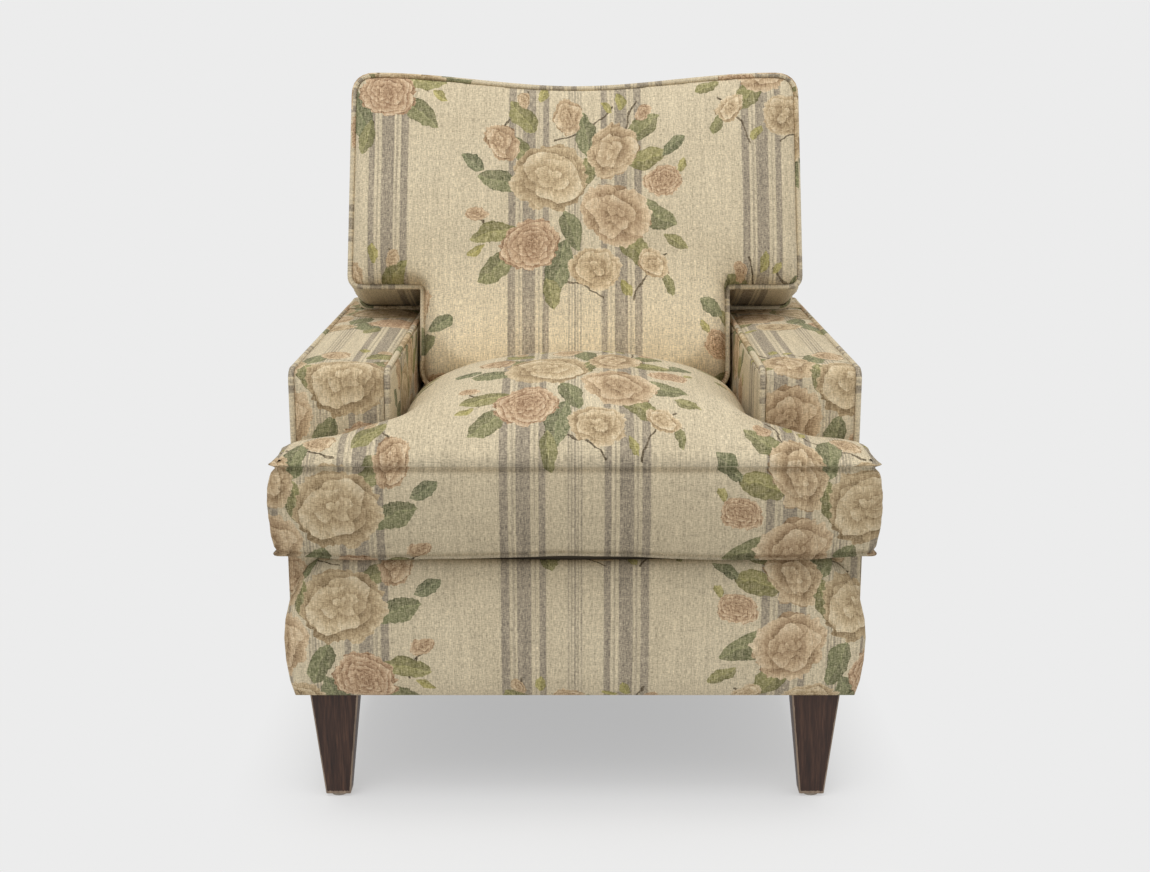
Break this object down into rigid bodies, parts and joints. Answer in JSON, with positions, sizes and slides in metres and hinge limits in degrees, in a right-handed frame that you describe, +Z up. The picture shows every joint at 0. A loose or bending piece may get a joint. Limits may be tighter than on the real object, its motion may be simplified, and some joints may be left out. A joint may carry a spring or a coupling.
{
  "type": "upholstered armchair",
  "caption": "Upholstered armchair with square arms, loose T seat cushion, loose T back cushion with piping, and short tapered wooden legs.",
  "frame": {"origin": "on the floor under the middle of the chair's bounding box", "axes": "+Z up, the chair faces -Y, +X to the right as seen from the front"},
  "size_m": [0.7934, 0.8312, 0.967],
  "materials": {
    "printed_linen": "slubby natural linen with grey-taupe ticking stripes and a faded print of roses and leaves",
    "frame_wood": "planed hardwood, unfinished",
    "leg_walnut": "dark walnut stain, satin lacquer",
    "glide": "moulded plastic glide",
    "bolt_steel": "zinc-plated steel",
    "spring_steel": "drawn spring wire",
    "webbing": "woven jute strap",
    "dust_cloth": "black non-woven cloth",
    "zip": "beige coil zip on tape"
  },
  "bodies": {
    "root": {"seat_cushion": "printed_linen", "back_cushion": "printed_linen", "back_cushion_front_welt": "printed_linen", "back_cushion_rear_welt": "printed_linen", "seat_deck": "printed_linen", "front_border": "printed_linen", "inside_back": "printed_linen", "outside_back": "printed_linen", "back_top_facing": "printed_linen", "left_arm_band": "printed_linen", "left_arm_rear_strip": "printed_linen", "left_inside_arm": "printed_linen", "left_outside_arm": "printed_linen", "left_arm_inner_welt": "printed_linen", "left_arm_outer_welt": "printed_linen", "left_back_side": "printed_linen", "right_arm_band": "printed_linen", "right_arm_rear_strip": "printed_linen", "right_inside_arm": "printed_linen", "right_outside_arm": "printed_linen", "right_arm_inner_welt": "printed_linen", "right_arm_outer_welt": "printed_linen", "right_back_side": "printed_linen", "front_rail": "frame_wood", "back_rail": "frame_wood", "back_lower_rail": "frame_wood", "back_top_rail": "frame_wood", "left_side_rail": "frame_wood", "left_arm_stump": "frame_wood", "left_arm_board": "frame_wood", "left_back_post": "frame_wood", "right_side_rail": "frame_wood", "right_arm_stump": "frame_wood", "right_arm_board": "frame_wood", "right_back_post": "frame_wood", "front_left_corner_block": "frame_wood", "rear_left_corner_block": "frame_wood", "front_right_corner_block": "frame_wood", "rear_right_corner_block": "frame_wood", "front_left_leg": "leg_walnut", "front_right_leg": "leg_walnut", "rear_left_leg": "leg_walnut", "rear_right_leg": "leg_walnut", "front_left_glide": "glide", "front_right_glide": "glide", "rear_left_glide": "glide", "rear_right_glide": "glide", "front_left_hanger_bolt": "bolt_steel", "front_right_hanger_bolt": "bolt_steel", "rear_left_hanger_bolt": "bolt_steel", "rear_right_hanger_bolt": "bolt_steel", "seat_spring_1": "spring_steel", "seat_spring_2": "spring_steel", "seat_spring_3": "spring_steel", "seat_spring_4": "spring_steel", "back_strap_1": "webbing", "back_strap_2": "webbing", "back_strap_3": "webbing", "dust_cover": "dust_cloth", "seat_cushion_zip": "zip"}
  },
  "joints": []
}
